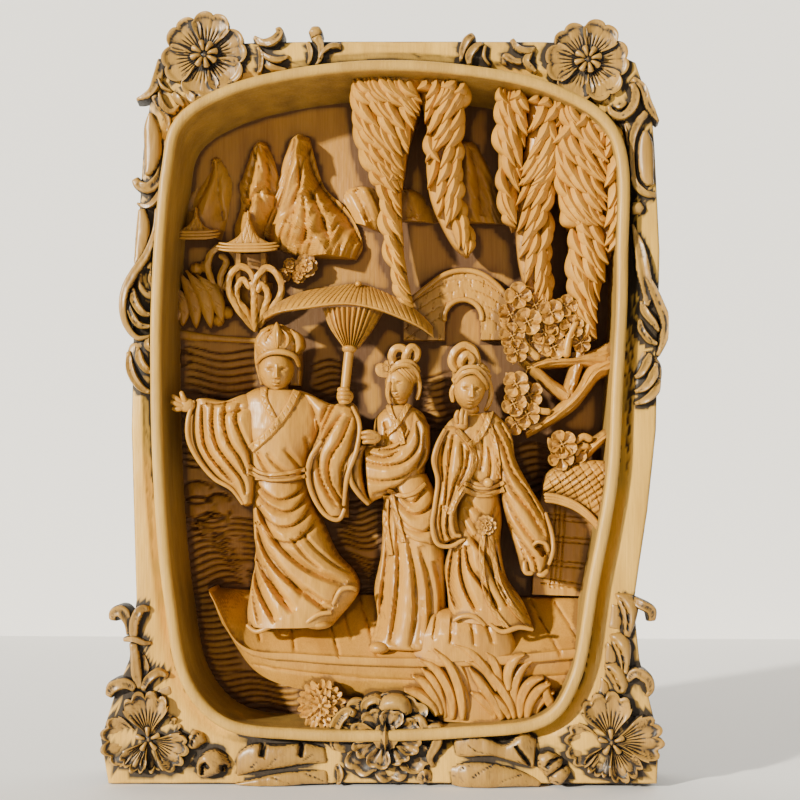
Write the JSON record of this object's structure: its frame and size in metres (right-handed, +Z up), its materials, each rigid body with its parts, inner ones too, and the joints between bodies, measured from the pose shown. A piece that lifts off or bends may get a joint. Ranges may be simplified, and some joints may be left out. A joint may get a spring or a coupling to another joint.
{
  "type": "carved wood relief",
  "caption": "Deep carved wood wall relief: a frame of leaves and flowers round a hollow with robed figures on a boat, a parasol, willow, blossom, bridge and mountains.",
  "frame": {"origin": "middle of the flat back, where it lies against the wall", "axes": "+X to the right seen from the front, +Z up, the carved front faces -Y"},
  "size_m": [0.4349, 0.0796, 0.5925],
  "materials": {
    "carved_wood": "waxed light wood with a dark wash left in the recesses of the frame"
  },
  "bodies": {
    "root": {"carved_relief": "carved_wood"}
  },
  "joints": []
}
